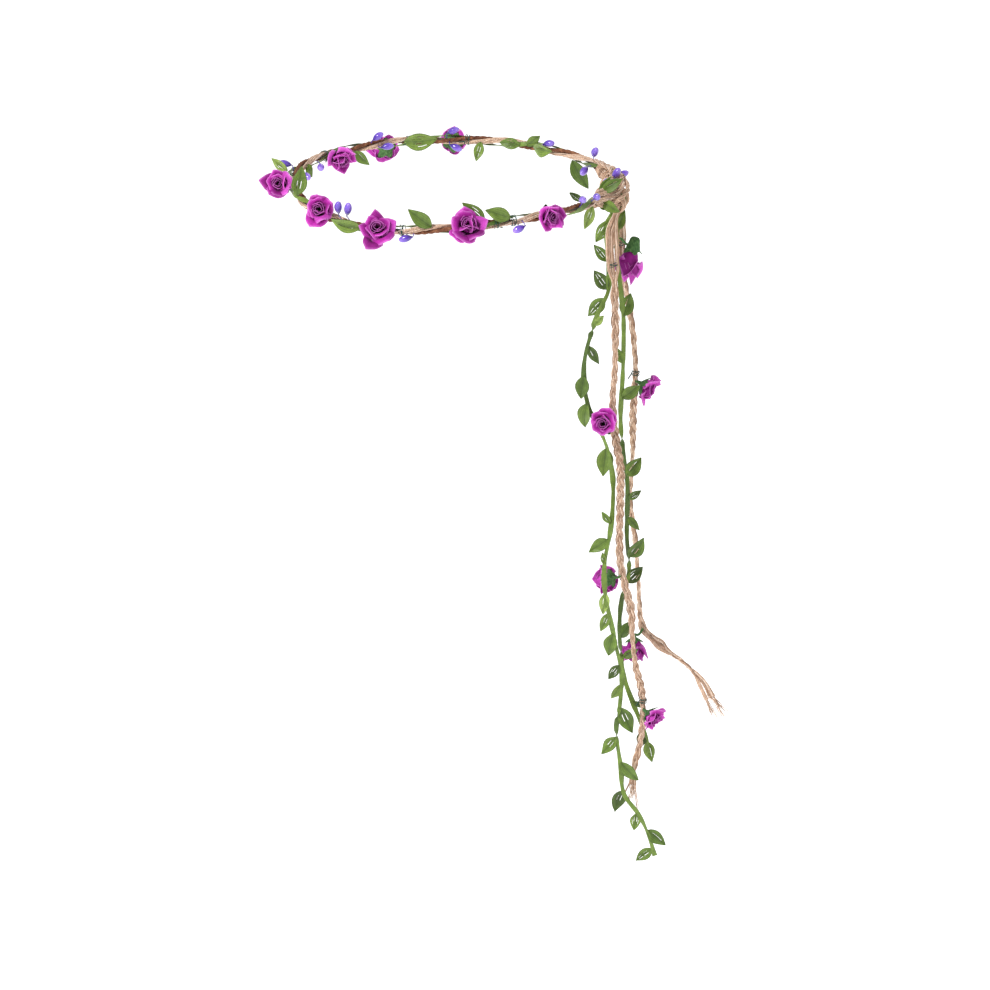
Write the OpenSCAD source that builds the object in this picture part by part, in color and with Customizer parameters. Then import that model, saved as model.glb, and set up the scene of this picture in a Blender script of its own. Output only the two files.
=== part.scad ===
/* [Ring] */
// Radius of the ring's centre line
ring_r = 90; // [88:0.5:92]
// Radius at which the strands lie round the core wire
lay_r = 1.9; // [1.9:0.05:2.1]
// Full turns that the strands make round the core wire
lay_turns = 9; // [6:1:12]
// Radius of the core wire
core_wire_r = 0.45; // [0.3:0.05:0.45]
// Radius of the paper-wrapped brown cord
brown_cord_r = 1.2; // [0.8:0.1:1.3]
// Radius of the jute strand
jute_strand_r = 1.35; // [1:0.05:1.4]
// Radius of the rolled leaf ribbon
ribbon_strand_r = 1; // [0.6:0.1:1.2]

/* [Flowers] */
// Height of a bloom over its calyx, as a share of its radius
bloom_rise = 1.35; // [0.8:0.05:1.5]
// Number of petals in a bloom's outer row
petals = 5; // [4:1:7]
// Length of a bud from its stalk to its tip
bud_len = 7; // [4:0.5:7]
// Largest radius of a bud
bud_r = 1.9; // [1.2:0.1:2]

/* [Leaves] */
// Thickness of the leaf ribbon
leaf_t = 0.4; // [0.2:0.1:0.5]
// Width of a leaf as a share of its length
leaf_aspect = 0.52; // [0.35:0.01:0.55]

/* [Knot] */
// Radius of the jute bar that the tails hang from
bar_r = 2.8; // [2:0.1:2.8]
// Gap between the bar and the loops that turn on it
loop_gap = 0.3; // [0.3:0.05:0.4]
// Width of a lashing band along the bar
band_w = 2; // [1:0.25:2.5]
// Thickness of a lashing band
band_t = 0.9; // [0.6:0.1:1]

/* [Tails] */
// Radius of the jute braids
braid_r = 2.3; // [1.8:0.1:2.3]
// Radius of the rolled ribbon vines
vine_r = 1.1; // [0.8:0.1:1.1]
// Length of the frayed end of a braid
fray_len = 16; // [8:1:18]

/* [Hidden] */

round_fn = 32;
tube_sides = 8;
strand_sides = 6;
strand_rings = 96;
bundle_r = lay_r + jute_strand_r + 0.05;

// The knot's bar lies along Y, outside and just under the ring's centre line
bar_x = ring_r + 7;
bar_z = -6;
bar_front = -11.2;
bar_back = 10.7;
collar_r = 3.4;
band_gap = 0.1;
band_ring_x = ring_r - 0.5;

// Where each tail's loop sits on the bar
long_braid_y = -6.3;
long_vine_y = -2.4;
short_vine_y = 0.6;
short_braid_y = 4.6;
braid_loop_r = 1.2;
vine_loop_r = 0.9;

// Points that the tails pass through, from the bar down
long_braid_route = [[97, -6.3, -10.5], [95.5, -6.8, -17], [94.5, -8, -27], [96, -10, -41],
    [97, -12, -56], [98, -14, -76], [98, -14, -100], [97, -14, -122], [99, -14, -143],
    [102, -14, -160], [102, -14, -185], [102, -14, -210], [104, -14, -226],
    [109, -14, -246], [110, -14, -262], [112, -14, -280], [116, -14, -297],
    [117, -14, -312], [116, -14, -328], [113, -14, -343], [111, -14, -358]];
short_braid_route = [[97, 4.6, -10.5], [97, 7.5, -18], [96.5, 12, -28], [96, 16.5, -40],
    [98, 16.5, -56], [102, 15, -74], [105, 14, -95], [106, 14, -112], [105, 14, -135],
    [105, 14, -160], [104, 14, -190], [107, 14, -212], [109, 15, -236], [109.5, 18, -252],
    [110, 20, -264], [112, 20, -272], [117, 20, -278], [126, 20, -285], [137, 20, -293],
    [146, 19, -302], [153, 18, -313]];
long_vine_route = [[97, -2.4, -10.3], [93.5, -3, -14], [90.5, -4, -23], [92.5, -6, -40],
    [93, -8, -56], [88, -9.5, -68], [83.5, -9.5, -82], [80, -9.5, -98], [80, -9.5, -113],
    [83, -9.5, -127], [89, -9.5, -139], [94, -9.5, -152], [97, -9.5, -169],
    [97, -9.5, -188], [96, -14, -203], [94.5, -20, -214], [94.5, -22.5, -226],
    [96, -22, -240], [99, -20, -256], [102, -19, -271], [105, -18.5, -286],
    [104, -18.5, -305], [102, -18.5, -322], [105, -18.5, -345], [107, -18.5, -362],
    [116, -18.5, -375], [122, -18.5, -388], [126, -18.5, -401]];
short_vine_route = [[97, 0.6, -10.3], [96.5, 0.3, -20], [96.5, -1.5, -35], [99, -2.4, -56],
    [101, -2.4, -75], [101, -2.4, -105], [100, -2.4, -134], [102, -2.4, -156],
    [104.5, -2.4, -175], [104.5, -2.4, -205], [106, -2.4, -228], [102, -2.4, -246],
    [101, -2.4, -268], [104, -2.4, -294], [110, -2.4, -312], [117, -2.4, -330],
    [119, -2.4, -342]];

// Leaves of a vine: height, angle in the XZ plane, length
long_vine_leaf_list = [[-15.5, -120, 15], [-41, 128, 12], [-57, 123, 13], [-60, -129, 14],
    [-78, 50, 8], [-88, -63, 12], [-106, -97, 14], [-122, -94, 15], [-149, -95, 17],
    [-196, 125, 8], [-203, -140, 14], [-218, 100, 7], [-233, -95, 13], [-246, -110, 12],
    [-259, -99, 14], [-279, -122, 11], [-291, -119, 11], [-306, -65, 17], [-325, -125, 14],
    [-341, -47, 15], [-359, -107, 15], [-373, -96, 11], [-384, -38, 14], [-396, -136, 12]];
short_vine_leaf_list = [[-24, 72, 12], [-74, 75, 14], [-102, 109, 9], [-123, 43, 13],
    [-170, 57, 14], [-184, 40, 9], [-193, -50, 10], [-220, 57, 15], [-236, 50, 14],
    [-271, 60, 13], [-283, 35, 10], [-309, -33, 7], [-327, -98, 11], [-334, -75, 13]];

// Blooms: centre, azimuth and elevation that the bloom faces, radius
left_at = [on_ring(-151, 98, 8.5), -95, 18, 9.4];
front_left_at = [on_ring(-125, 98, 4.2), -88, 22, 9.3];
front_at = [on_ring(-102, 98.5, -1), -85, 45, 9.6];
front_centre_at = [on_ring(-73, 98.5, 2.5), -80, 46, 10.4];
front_right_at = [on_ring(-46, 99.8, 4.6), -44, 5, 9];
back_left_at = [on_ring(150.5, 80.6, -0.5), -45, -25, 8.6];
back_at = [on_ring(122.7, 99.8, -5.5), 120, -10, 9];
back_centre_at = [on_ring(99, 99.8, -4), 96, -8, 9];
long_upper_at = [[93.3, -22.5, -130.5], -97, 16, 9];
long_middle_at = [[95, -14, -228.5], 140, -25, 8];
long_lower_at = [[123.6, -20, -311], -25, -28, 8.5];
short_upper_at = [[103.5, 9.2, -40], -160, -78, 7.8];
short_middle_at = [[113.3, 11, -119.5], 0, -33, 9];
short_lower_at = [[108, 10.4, -279.5], -80, -76, 7.8];
bloom_stand = 6;

// Ring leaves: foot, azimuth, elevation, roll, length
front_leaf_list = [
    [on_ring(-179, 94, 4), 190, 40, 70, 9], [on_ring(-143, 95, 6), 20, 72, 95, 16],
    [on_ring(-110, 95, -2.8), 182, 18, 80, 16], [on_ring(-85, 94, 2.6), 188, 36, 90, 15],
    [on_ring(-67, 93, 5.6), 191, 36, 95, 15], [on_ring(-58, 95.6, 6.8), 199, 13, 80, 15],
    [on_ring(-25, 91.5, 6.8), 195, 16, 80, 8], [on_ring(-20, 94.4, -1.5), 203, -62, 90, 13],
    [on_ring(-12, 94.4, -3), -8, -22, 60, 9]];
back_leaf_list = [
    [on_ring(167, 85.4, 1), -70, -40, 90, 9], [on_ring(139, 85.6, -2), 10, -42, 85, 10],
    [on_ring(105, 84.8, 2), 199, -3, 80, 19], [on_ring(88, 85.4, -0.5), 190, -78, 90, 11],
    [on_ring(80, 85.4, 1), -14, -2, 65, 12], [on_ring(69, 85.6, 0.6), -8, 38, 90, 11],
    [on_ring(56, 85.6, 0.8), 152, -4, 80, 15], [on_ring(47, 87.5, -4), 0, -54, 90, 18],
    [on_ring(13, 95, -3), 20, -70, 90, 14]];

// Buds: foot, azimuth and elevation
buds_left_list = [[on_ring(177, 91, 4), 190, 12], [on_ring(173, 85.4, -2), -60, -12],
    [on_ring(159.5, 85.2, -2), -80, -8]];
buds_front_left_list = [[on_ring(-118, 95, 3.2), -80, 80], [on_ring(-115, 94.2, 3), -20, 80],
    [on_ring(-91, 94.6, -4.4), 183, -14]];
bud_front_right_list = [[on_ring(-53.5, 96, 0), 212, -20]];
buds_knot_front_list = [[on_ring(-26.5, 93, 5.4), -80, 18], [on_ring(-20, 94.2, 4.4), -70, 22],
    [on_ring(-4, 90, 4.6), -60, 34]];
buds_knot_back_list = [[on_ring(32, 85.4, 0), -110, -24], [on_ring(33, 90, 4.6), -60, 56],
    [on_ring(3, 92.5, 5), 0, 56], [on_ring(9, 94.5, 3), 20, 24]];
buds_back_list = [[on_ring(131, 87, 3.5), 20, 34], [on_ring(128, 85.2, -1), 20, 8],
    [on_ring(101, 88.5, 4.3), 0, 22], [on_ring(100, 85.4, -2), 0, -22],
    [on_ring(61, 86, 3.6), -20, 12]];

// Angles round the ring at which floral wire is wrapped
tie_angles = [-169, -134, -95, -62, -56, 152, 115, 93];
tie_wire_r = 0.3;
tie_turns = 3;
tie_gap = 0.1;
tie_slack = 0.35;

// A point at an angle, a radius and a height about the ring's axis
function on_ring(a, r, z) = [r * cos(a), r * sin(a), z];
function bump(a, at, spread) = exp(-pow((a - at) / spread, 2));
// The hand-wound ring isn't quite flat
function ring_z(a) = 5.5 * bump(a, -157, 14) - 3.2 * bump(a, -108, 22) + 2.2 * bump(a, -50, 22);
function unit(v) = v / norm(v);
function clamp_index(list, i) = list[max(0, min(len(list) - 1, i))];
function along(route, i) = unit(clamp_index(route, i + 1) - clamp_index(route, i - 1));

// Points of one ring of a tube about a point, square to a direction
function ring_points(centre, dir, r) =
    let (side = unit(cross(dir, [0, 1, 0])), up = cross(side, dir), step = 360 / tube_sides)
    [for (k = [0:tube_sides - 1]) centre + r * (cos(k * step) * side + sin(k * step) * up)];

// The point of a falling route at a height
function at_height(route, z) = let (
    after = [for (i = [1:len(route) - 1]) if (route[i][2] <= z) i],
    i = len(after) > 0 ? after[0] : len(route) - 1,
    share = (route[i - 1][2] - z) / (route[i - 1][2] - route[i][2]))
    route[i - 1] + share * (route[i] - route[i - 1]);

// Closed solid through a row of rings of points
module skin(rings) {
    n = tube_sides;
    last = len(rings) - 1;
    walls = [for (i = [0:last - 1]) for (k = [0:n - 1])
        let (a = i * n + k, b = i * n + (k + 1) % n)
        each [[a, b, b + n], [a, b + n, a + n]]];
    start = [for (k = [n - 1:-1:0]) k];
    end = [for (k = [0:n - 1]) last * n + k];
    polyhedron([for (ring = rings) each ring], concat([start], walls, [end]));
}

// Tube swept along a route, closed by flat ends
module tube(route, r) {
    last = len(route) - 1;
    skin([for (i = [0:last]) ring_points(route[i], along(route, i), r)]);
}

// Closed strand that winds round the ring's centre line
module ring_strand(offset_r, phase, r) {
    n = strand_sides;
    count = strand_rings * n;
    points = [for (i = [0:strand_rings - 1])
        let (a = 360 * i / strand_rings, bend = a > 180 ? a - 360 : a, lay = lay_turns * a + phase)
        for (k = [0:n - 1]) let (s = 360 * k / n)
        on_ring(a, ring_r + offset_r * cos(lay) + r * cos(s),
            ring_z(bend) + offset_r * sin(lay) + r * sin(s))];
    walls = [for (i = [0:strand_rings - 1]) for (k = [0:n - 1])
        let (a = i * n + k, b = i * n + (k + 1) % n)
        each [[a, b, (b + n) % count], [a, (b + n) % count, (a + n) % count]]];
    polyhedron(points, walls);
}

// Turns local +Z to an azimuth and an elevation
module face(azimuth, elevation) {
    rotate([0, 90 - elevation, azimuth]) children();
}

// Rose of rolled paper rows, opening along +Z, with its middle at the origin
module bloom(r) {
    h = r * bloom_rise;
    low = calyx_top(r);
    difference() {
        translate([0, 0, -bloom_stand])
            rotate_extrude($fn = round_fn)
                polygon([[0, low[0][1]], low[1], low[2], [0.8 * r, 0.35 * h + 2.2],
                    [r, 0.55 * h + 2.6], [0.96 * r, 0.6 * h + 2.8], [0.74 * r, 0.44 * h + 2.8],
                    [0.56 * r, 0.4 * h + 2.8], [0.68 * r, 0.68 * h + 2.8],
                    [0.64 * r, 0.8 * h + 2.8], [0.46 * r, 0.56 * h + 2.8],
                    [0.36 * r, 0.54 * h + 2.8], [0.37 * r, 0.88 * h + 2.8],
                    [0.27 * r, 0.9 * h + 2.8], [0.16 * r, 0.6 * h + 2.8],
                    [0, 0.58 * h + 2.8]]);
        for (k = [0:petals - 1])
            rotate([0, 0, 360 * (k + 0.5) / petals])
                translate([1.12 * r, 0, -bloom_stand])
                    cylinder(r = 0.22 * r, h = 3 * r, $fn = round_fn);
    }
}

// Underside of a bloom, shared by its calyx: radius and height over the calyx foot
function calyx_top(r) = [[0, 2.4], [2.2, 2.4], [0.6 * r, 0.22 * r + 1.6]];

// Green cup of sepals that the bloom sits in, with its foot behind the bloom
module calyx(r) {
    top = calyx_top(r);
    translate([0, 0, -bloom_stand])
        rotate_extrude($fn = round_fn)
            polygon([[0, 0], [1, 0], [1.2, 0.8], [2.3, 1.4], [0.45 * r, 1.9],
                [0.6 * r, 0.22 * r + 1.1], top[2], top[1], top[0]]);
}

module rose(spec) {
    color("mediumvioletred") translate(spec[0]) face(spec[1], spec[2]) bloom(spec[3]);
}

module sepals(spec) {
    color("seagreen") translate(spec[0]) face(spec[1], spec[2]) calyx(spec[3]);
}

// Pointed leaf along +X, flat in XY, with two cut veins
module leaf(length) {
    width = leaf_aspect * length;
    arc_r = (length * length + width * width) / (4 * width);
    vein_len = 0.36 * length;
    vein_w = 0.05 * length;
    translate([0, 0, -leaf_t / 2]) linear_extrude(leaf_t)
        difference() {
            intersection_for (side = [-1, 1])
                translate([length / 2, side * (arc_r - width / 2)])
                    circle(r = arc_r, $fn = 2 * round_fn);
            for (side = [-1, 1])
                translate([0.46 * length, side * 0.13 * width]) rotate(side * 7)
                    square([vein_len, vein_w], center = true);
        }
}

module ring_leaves(list) {
    color("olivedrab") for (spec = list)
        translate(spec[0]) rotate([0, 0, spec[1]]) rotate([0, -spec[2], 0])
            rotate([spec[3], 0, 0]) leaf(spec[4]);
}

module vine_leaves(route, list) {
    foot = vine_r + 0.2;
    color("olivedrab") for (i = [0:len(list) - 1])
        translate(at_height(route, list[i][0])) rotate([0, -list[i][1], 0])
            rotate([78 + 8 * (i % 4), 0, 0]) translate([foot, 0, 0]) leaf(list[i][2]);
}

// Glossy teardrop with a short wire stalk at its foot
module bud() {
    stalk = 1.2;
    stalk_r = 0.35;
    rotate_extrude($fn = round_fn)
        polygon([[0, 0], [stalk_r, 0], [stalk_r, stalk], [0.6 * bud_r, 0.34 * bud_len],
            [0.95 * bud_r, 0.55 * bud_len], [bud_r, 0.7 * bud_len],
            [0.8 * bud_r, 0.88 * bud_len], [0.4 * bud_r, 0.98 * bud_len], [0, bud_len]]);
}

module buds(list) {
    color("mediumslateblue") for (spec = list) translate(spec[0]) face(spec[1], spec[2]) bud();
}

// Turns of floral wire round something of a given radius, about +Z
module wire_wrap(hold_r) {
    pitch = 2.1 * tie_wire_r;
    for (i = [0:tie_turns - 1])
        translate([0, 0, (i - (tie_turns - 1) / 2) * pitch])
            rotate_extrude($fn = round_fn)
                translate([hold_r + tie_wire_r + 0.05, 0]) circle(r = tie_wire_r, $fn = 16);
}

module cord_wraps(route, heights) {
    color("darkslategray") for (z = heights)
        translate(at_height(route, z)) wire_wrap(braid_r + tie_slack);
}

// Loop that turns on the knot's bar
module bar_loop(y, r) {
    translate([bar_x, y, bar_z]) rotate([90, 0, 0])
        rotate_extrude($fn = 2 * round_fn)
            translate([bar_r + loop_gap + r, 0]) circle(r = r, $fn = round_fn);
}

// Frayed end of a braid, from a route's last point on
module fray(route, tip_r) {
    last = len(route) - 1;
    dir = unit(route[last] - route[last - 1]);
    side = unit(cross(dir, [0, 1, 0]));
    gap = 0.1;
    color("burlywood") skin([
        ring_points(route[last] + gap * dir, dir, 0.9 * braid_r),
        ring_points(route[last] + 0.5 * fray_len * dir, dir, 1.15 * braid_r),
        ring_points(route[last] + fray_len * dir - 0.6 * side, dir, tip_r)]);
}

// Stadium round the ring bundle and the bar, drawn in XZ
module lashing_outline(r) {
    bar_dx = bar_x - band_ring_x;
    span = norm([bar_dx, bar_z]);
    circle(r = r, $fn = 2 * round_fn);
    translate([bar_dx, bar_z]) circle(r = r, $fn = 2 * round_fn);
    rotate(atan2(bar_z, bar_dx)) translate([0, -r]) square([span, 2 * r]);
}

module lashing_band(y) {
    translate([band_ring_x, y + band_w / 2, 0]) rotate([90, 0, 0])
        linear_extrude(band_w) difference() {
            lashing_outline(collar_r + band_gap + band_t);
            lashing_outline(collar_r + band_gap);
        }
}

module core_wire() {
    color("dimgray") ring_strand(0, 0, core_wire_r);
}

module brown_cord() {
    color("sienna") ring_strand(lay_r, 0, brown_cord_r);
}

module jute_strand() {
    color("burlywood") ring_strand(lay_r, 120, jute_strand_r);
}

module ribbon_strand() {
    color("olivedrab") ring_strand(lay_r, 240, ribbon_strand_r);
}

module ring_ties() {
    color("darkslategray") for (a = tie_angles)
        translate(on_ring(a, ring_r, ring_z(a))) rotate([0, 0, a]) rotate([90, 0, 0])
            wire_wrap(bundle_r + tie_gap);
}

module knot_bar() {
    color("peru") translate([bar_x, 0, bar_z]) rotate([-90, 0, 0]) {
        translate([0, 0, bar_front]) cylinder(r = bar_r, h = bar_back - bar_front, $fn = 2 * round_fn);
        translate([0, 0, bar_front]) cylinder(r = collar_r, h = band_w, $fn = 2 * round_fn);
        translate([0, 0, bar_back - band_w]) cylinder(r = collar_r, h = band_w, $fn = 2 * round_fn);
    }
}

module knot_lashing() {
    color("tan") {
        lashing_band(bar_front + band_w / 2);
        lashing_band(bar_back - band_w / 2);
    }
}

module long_braid_loop() { color("burlywood") bar_loop(long_braid_y, braid_loop_r); }
module short_braid_loop() { color("burlywood") bar_loop(short_braid_y, braid_loop_r); }
module long_vine_loop() { color("olivedrab") bar_loop(long_vine_y, vine_loop_r); }
module short_vine_loop() { color("olivedrab") bar_loop(short_vine_y, vine_loop_r); }
module long_braid() { color("burlywood") tube(long_braid_route, braid_r); }
module short_braid() { color("burlywood") tube(short_braid_route, braid_r); }
module long_vine() { color("olivedrab") tube(long_vine_route, vine_r); }
module short_vine() { color("olivedrab") tube(short_vine_route, vine_r); }
module long_braid_ties() { cord_wraps(long_braid_route, [-40, -303]); }
module short_braid_ties() { cord_wraps(short_braid_route, [-34, -111]); }

core_wire();
brown_cord();
jute_strand();
ribbon_strand();
ring_ties();
ring_leaves(front_leaf_list);  // ring_leaves_front
ring_leaves(back_leaf_list);  // ring_leaves_back
buds(buds_left_list);  // buds_left
buds(buds_front_left_list);  // buds_front_left
buds(bud_front_right_list);  // bud_front_right
buds(buds_knot_front_list);  // buds_knot_front
buds(buds_knot_back_list);  // buds_knot_back
buds(buds_back_list);  // buds_back
rose(left_at);  // rose_left
rose(front_left_at);  // rose_front_left
rose(front_at);  // rose_front
rose(front_centre_at);  // rose_front_centre
rose(front_right_at);  // rose_front_right
rose(back_left_at);  // rose_back_left
rose(back_at);  // rose_back
rose(back_centre_at);  // rose_back_centre
sepals(left_at);  // calyx_left
sepals(front_left_at);  // calyx_front_left
sepals(front_at);  // calyx_front
sepals(front_centre_at);  // calyx_front_centre
sepals(front_right_at);  // calyx_front_right
sepals(back_left_at);  // calyx_back_left
sepals(back_at);  // calyx_back
sepals(back_centre_at);  // calyx_back_centre
knot_bar();
knot_lashing();
long_braid_loop();
long_braid();
fray(long_braid_route, 3.4);  // long_braid_fray
long_braid_ties();
rose(long_upper_at);  // rose_long_upper
rose(long_middle_at);  // rose_long_middle
rose(long_lower_at);  // rose_long_lower
sepals(long_upper_at);  // calyx_long_upper
sepals(long_middle_at);  // calyx_long_middle
sepals(long_lower_at);  // calyx_long_lower
short_braid_loop();
short_braid();
fray(short_braid_route, 2);  // short_braid_fray
short_braid_ties();
rose(short_upper_at);  // rose_short_upper
rose(short_middle_at);  // rose_short_middle
rose(short_lower_at);  // rose_short_lower
sepals(short_upper_at);  // calyx_short_upper
sepals(short_middle_at);  // calyx_short_middle
sepals(short_lower_at);  // calyx_short_lower
long_vine_loop();
long_vine();
vine_leaves(long_vine_route, long_vine_leaf_list);  // long_vine_leaves
short_vine_loop();
short_vine();
vine_leaves(short_vine_route, short_vine_leaf_list);  // short_vine_leaves
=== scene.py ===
"""Flower crown: the looks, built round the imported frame. Shapes are in mm until they become meshes."""
import math

import bpy
import numpy as np
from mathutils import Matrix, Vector


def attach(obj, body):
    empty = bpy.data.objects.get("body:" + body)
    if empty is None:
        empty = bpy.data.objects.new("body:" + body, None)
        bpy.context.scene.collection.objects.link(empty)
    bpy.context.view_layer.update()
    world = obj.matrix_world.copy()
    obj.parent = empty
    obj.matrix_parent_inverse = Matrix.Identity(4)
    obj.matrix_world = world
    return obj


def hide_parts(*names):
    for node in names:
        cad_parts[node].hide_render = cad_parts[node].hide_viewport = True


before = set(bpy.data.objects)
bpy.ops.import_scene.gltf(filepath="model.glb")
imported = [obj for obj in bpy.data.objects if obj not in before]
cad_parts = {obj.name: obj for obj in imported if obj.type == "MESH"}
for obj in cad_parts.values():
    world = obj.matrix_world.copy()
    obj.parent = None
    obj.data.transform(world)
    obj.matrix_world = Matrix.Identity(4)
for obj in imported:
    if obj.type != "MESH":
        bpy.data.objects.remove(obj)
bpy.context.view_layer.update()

MM = 0.001
TURN = 2 * math.pi
seeded = np.random.default_rng

# The camera stands in front of the ring, a little to the knot's side, and looks down on it
VIEW_AZIMUTH = math.radians(10)
VIEW_PITCH = math.radians(20.8)
VIEW_DISTANCE = 2.0883
VIEW_AIM = Vector((0.0369, -0.057, -0.1646))
LENS = 135
SENSOR = 36

# Routes of the four tails, from the knot's bar down, in metres, as the CAD model has them
LONG_BRAID_ROUTE = [
    (0.097, -0.0063, -0.0105), (0.0955, -0.0068, -0.017), (0.0945, -0.008, -0.027),
    (0.096, -0.01, -0.041), (0.097, -0.012, -0.056), (0.098, -0.014, -0.076),
    (0.098, -0.014, -0.1), (0.097, -0.014, -0.122), (0.099, -0.014, -0.143),
    (0.102, -0.014, -0.16), (0.102, -0.014, -0.185), (0.102, -0.014, -0.21),
    (0.104, -0.014, -0.226), (0.109, -0.014, -0.246), (0.11, -0.014, -0.262),
    (0.112, -0.014, -0.28), (0.116, -0.014, -0.297), (0.117, -0.014, -0.312),
    (0.116, -0.014, -0.328), (0.113, -0.014, -0.343), (0.111, -0.014, -0.358)]
SHORT_BRAID_ROUTE = [
    (0.097, 0.0046, -0.0105), (0.097, 0.0075, -0.018), (0.0965, 0.012, -0.028),
    (0.096, 0.0165, -0.04), (0.098, 0.0165, -0.056), (0.102, 0.015, -0.074),
    (0.105, 0.014, -0.095), (0.106, 0.014, -0.112), (0.105, 0.014, -0.135),
    (0.105, 0.014, -0.16), (0.104, 0.014, -0.19), (0.107, 0.014, -0.212),
    (0.109, 0.015, -0.236), (0.1095, 0.018, -0.252), (0.11, 0.02, -0.264),
    (0.112, 0.02, -0.272), (0.117, 0.02, -0.278), (0.126, 0.02, -0.285),
    (0.137, 0.02, -0.293), (0.146, 0.019, -0.302), (0.153, 0.018, -0.313)]
LONG_VINE_ROUTE = [
    (0.097, -0.0024, -0.0103), (0.0935, -0.003, -0.014), (0.0905, -0.004, -0.023),
    (0.0925, -0.006, -0.04), (0.093, -0.008, -0.056), (0.088, -0.0095, -0.068),
    (0.0835, -0.0095, -0.082), (0.08, -0.0095, -0.098), (0.08, -0.0095, -0.113),
    (0.083, -0.0095, -0.127), (0.089, -0.0095, -0.139), (0.094, -0.0095, -0.152),
    (0.097, -0.0095, -0.169), (0.097, -0.0095, -0.188), (0.096, -0.014, -0.203),
    (0.0945, -0.02, -0.214), (0.0945, -0.0225, -0.226), (0.096, -0.022, -0.24),
    (0.099, -0.02, -0.256), (0.102, -0.019, -0.271), (0.105, -0.0185, -0.286),
    (0.104, -0.0185, -0.305), (0.102, -0.0185, -0.322), (0.105, -0.0185, -0.345),
    (0.107, -0.0185, -0.362), (0.116, -0.0185, -0.375), (0.122, -0.0185, -0.388),
    (0.126, -0.0185, -0.401)]
SHORT_VINE_ROUTE = [
    (0.097, 0.0006, -0.0103), (0.0965, 0.0003, -0.02), (0.0965, -0.0015, -0.035),
    (0.099, -0.0024, -0.056), (0.101, -0.0024, -0.075), (0.101, -0.0024, -0.105),
    (0.1, -0.0024, -0.134), (0.102, -0.0024, -0.156), (0.1045, -0.0024, -0.175),
    (0.1045, -0.0024, -0.205), (0.106, -0.0024, -0.228), (0.102, -0.0024, -0.246),
    (0.101, -0.0024, -0.268), (0.104, -0.0024, -0.294), (0.11, -0.0024, -0.312),
    (0.117, -0.0024, -0.33), (0.119, -0.0024, -0.342)]

# Ring: centre line, lay of the strands, and how far the hand-wound ring is from flat
RING_R = 90
LAY_TURNS = 9
RING_STEPS = 1100
RING_BUMPS = ((5.5, -157, 14), (-3.2, -108, 22), (2.2, -50, 22))

# The knot's bar, which lies along Y
BAR_X = 97
BAR_Z = -6

BRAID_D = 4.6
BRAID_PITCH = 19

# How thick each hand-made braid is, and how tightly plaited, at distances along it in millimetres
LONG_SIZES = [(0, 0.95), (12, 1.3), (26, 1.25), (40, 0.95), (52, 1.0), (62, 1.3), (72, 1.1),
              (82, 0.72), (100, 0.9), (118, 1.1), (142, 1.3), (160, 1.15), (200, 1.1), (225, 1.15),
              (238, 1.3), (250, 0.8), (262, 0.6), (277, 1.0), (292, 1.15), (299, 0.8), (312, 0.95),
              (335, 0.85), (350, 0.95)]
LONG_PLAITS = [(0, 0), (34, 0), (60, 1), (320, 1), (348, 0.2)]
SHORT_SIZES = [(0, 0.95), (22, 1.2), (45, 0.95), (60, 1.0), (85, 0.8), (100, 0.7), (120, 1.05), (138, 1.15),
               (150, 0.7), (158, 0.5), (170, 0.6), (200, 0.7), (247, 0.55), (262, 0.9), (272, 1.3),
               (284, 1.05), (298, 0.5), (312, 0.9), (324, 1.25)]
SHORT_PLAITS = [(0, 0), (34, 0), (60, 1), (258, 1), (268, 0.3), (288, 0.3), (298, 0.9), (308, 0.3), (324, 0)]
VINE_D = 2.2


def make_camera():
    camera = bpy.data.objects.new("camera", bpy.data.cameras.new("camera"))
    bpy.context.scene.collection.objects.link(camera)
    back = Vector((
        math.sin(VIEW_AZIMUTH) * math.cos(VIEW_PITCH),
        -math.cos(VIEW_AZIMUTH) * math.cos(VIEW_PITCH),
        math.sin(VIEW_PITCH)))
    camera.location = VIEW_AIM + VIEW_DISTANCE * back
    camera.rotation_mode = "QUATERNION"
    camera.rotation_quaternion = (-back).to_track_quat("-Z", "Y")
    camera.data.lens = LENS
    camera.data.sensor_width = SENSOR
    bpy.context.scene.camera = camera


# ---- vectors and paths

def unit(v):
    return v / np.maximum(np.linalg.norm(v, axis=-1, keepdims=True), 1e-9)


def smoothstep(low, high, x):
    t = np.clip((x - low) / (high - low), 0, 1)
    return t * t * (3 - 2 * t)


def travel(path):
    """Distance along a path at each of its points."""
    return np.concatenate([[0], np.cumsum(np.linalg.norm(np.diff(path, axis=0), axis=1))])


def resample(path, step):
    s = travel(path)
    even = np.linspace(0, s[-1], max(2, int(round(s[-1] / step)) + 1))
    return np.stack([np.interp(even, s, path[:, k]) for k in range(3)], axis=1)


def smooth_path(points, step):
    """Catmull-Rom curve through points, with a point every step."""
    p = np.asarray(points, float)
    p = np.vstack([2 * p[0] - p[1], p, 2 * p[-1] - p[-2]])
    t = np.linspace(0, 1, 24, endpoint=False)[:, None]
    parts = []
    for a, b, c, d in zip(p[:-3], p[1:-2], p[2:-1], p[3:]):
        parts.append(0.5 * (2 * b + (c - a) * t + (2 * a - 5 * b + 4 * c - d) * t ** 2
                            + (3 * b - a - 3 * c + d) * t ** 3))
    return resample(np.vstack(parts + [p[-2:-1]]), step)


def tangents(path):
    return unit(np.gradient(path, axis=-2))


def carried_frame(path, first=(0, 1, 0)):
    """Side and up directions that are carried along a path without spinning."""
    along = tangents(path)
    side = np.empty_like(path)
    side[0] = unit(np.cross(along[0], first))
    for i in range(1, len(path)):
        side[i] = unit(side[i - 1] - along[i] * np.dot(side[i - 1], along[i]))
    return side, np.cross(along, side)


def to_frame(path, side, up, x, y):
    return path + side * np.asarray(x)[..., None] + up * np.asarray(y)[..., None]


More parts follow.
